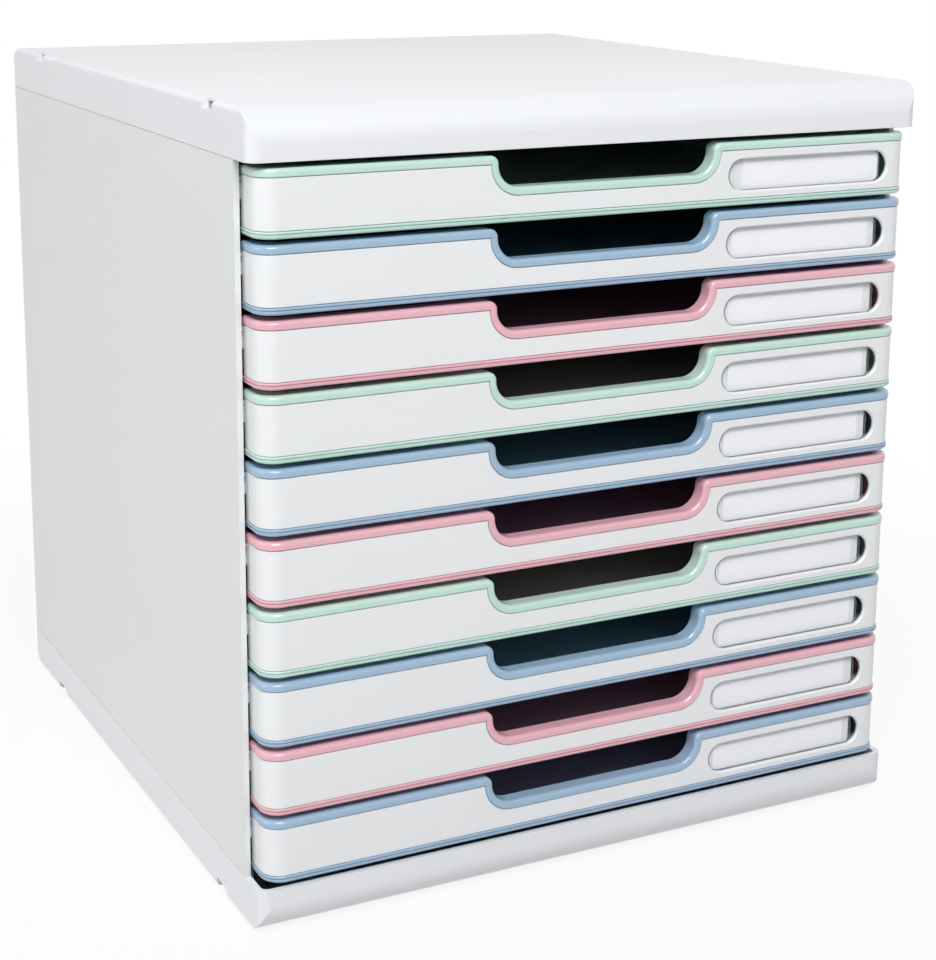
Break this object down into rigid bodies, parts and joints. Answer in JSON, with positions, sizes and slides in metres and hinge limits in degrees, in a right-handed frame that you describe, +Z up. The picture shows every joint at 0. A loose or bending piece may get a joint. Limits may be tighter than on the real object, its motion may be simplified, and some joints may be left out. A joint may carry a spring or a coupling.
{
  "type": "desk drawer unit",
  "caption": "Desk drawer unit of white and pastel plastic for A4 sheets: a closed casing with flat sliding drawers, each with a finger notch, a white facia and a clear label holder.",
  "frame": {"origin": "centre of the footprint, on the surface that the feet stand on", "axes": "+X to the right and -Y out of the front as one faces the drawers, +Z up"},
  "size_m": [0.288, 0.312, 0.3088],
  "materials": {
    "casing_white": "smooth satin moulding",
    "panel_white": "smooth satin moulding",
    "facia_white": "semi-gloss",
    "drawer_green": "pastel green, semi-gloss",
    "drawer_blue": "pastel blue, semi-gloss",
    "drawer_pink": "pastel pink, semi-gloss",
    "label_window": "clear plastic, polished",
    "label_card": "blank uncoated card",
    "foot_rubber": "matt"
  },
  "bodies": {
    "casing": {"top_cover": "casing_white", "base": "casing_white", "left_side_panel": "panel_white", "right_side_panel": "panel_white", "back_panel": "panel_white", "feet": "foot_rubber"},
    "drawer_01": {"drawer_01_tray": "drawer_green", "drawer_01_front": "facia_white", "drawer_01_window": "label_window", "drawer_01_card": "label_card"},
    "drawer_02": {"drawer_02_tray": "drawer_blue", "drawer_02_front": "facia_white", "drawer_02_window": "label_window", "drawer_02_card": "label_card"},
    "drawer_03": {"drawer_03_tray": "drawer_pink", "drawer_03_front": "facia_white", "drawer_03_window": "label_window", "drawer_03_card": "label_card"},
    "drawer_04": {"drawer_04_tray": "drawer_green", "drawer_04_front": "facia_white", "drawer_04_window": "label_window", "drawer_04_card": "label_card"},
    "drawer_05": {"drawer_05_tray": "drawer_blue", "drawer_05_front": "facia_white", "drawer_05_window": "label_window", "drawer_05_card": "label_card"},
    "drawer_06": {"drawer_06_tray": "drawer_pink", "drawer_06_front": "facia_white", "drawer_06_window": "label_window", "drawer_06_card": "label_card"},
    "drawer_07": {"drawer_07_tray": "drawer_green", "drawer_07_front": "facia_white", "drawer_07_window": "label_window", "drawer_07_card": "label_card"},
    "drawer_08": {"drawer_08_tray": "drawer_blue", "drawer_08_front": "facia_white", "drawer_08_window": "label_window", "drawer_08_card": "label_card"},
    "drawer_09": {"drawer_09_tray": "drawer_pink", "drawer_09_front": "facia_white", "drawer_09_window": "label_window", "drawer_09_card": "label_card"},
    "drawer_10": {"drawer_10_tray": "drawer_blue", "drawer_10_front": "facia_white", "drawer_10_window": "label_window", "drawer_10_card": "label_card"}
  },
  "joints": [
    {"name": "drawer_01_slide", "type": "slide", "parent": "casing", "child": "drawer_01", "axis": [0, -1, 0], "range_m": [0, 0.24]},
    {"name": "drawer_02_slide", "type": "slide", "parent": "casing", "child": "drawer_02", "axis": [0, -1, 0], "range_m": [0, 0.24]},
    {"name": "drawer_03_slide", "type": "slide", "parent": "casing", "child": "drawer_03", "axis": [0, -1, 0], "range_m": [0, 0.24]},
    {"name": "drawer_04_slide", "type": "slide", "parent": "casing", "child": "drawer_04", "axis": [0, -1, 0], "range_m": [0, 0.24]},
    {"name": "drawer_05_slide", "type": "slide", "parent": "casing", "child": "drawer_05", "axis": [0, -1, 0], "range_m": [0, 0.24]},
    {"name": "drawer_06_slide", "type": "slide", "parent": "casing", "child": "drawer_06", "axis": [0, -1, 0], "range_m": [0, 0.24]},
    {"name": "drawer_07_slide", "type": "slide", "parent": "casing", "child": "drawer_07", "axis": [0, -1, 0], "range_m": [0, 0.24]},
    {"name": "drawer_08_slide", "type": "slide", "parent": "casing", "child": "drawer_08", "axis": [0, -1, 0], "range_m": [0, 0.24]},
    {"name": "drawer_09_slide", "type": "slide", "parent": "casing", "child": "drawer_09", "axis": [0, -1, 0], "range_m": [0, 0.24]},
    {"name": "drawer_10_slide", "type": "slide", "parent": "casing", "child": "drawer_10", "axis": [0, -1, 0], "range_m": [0, 0.24]}
  ]
}
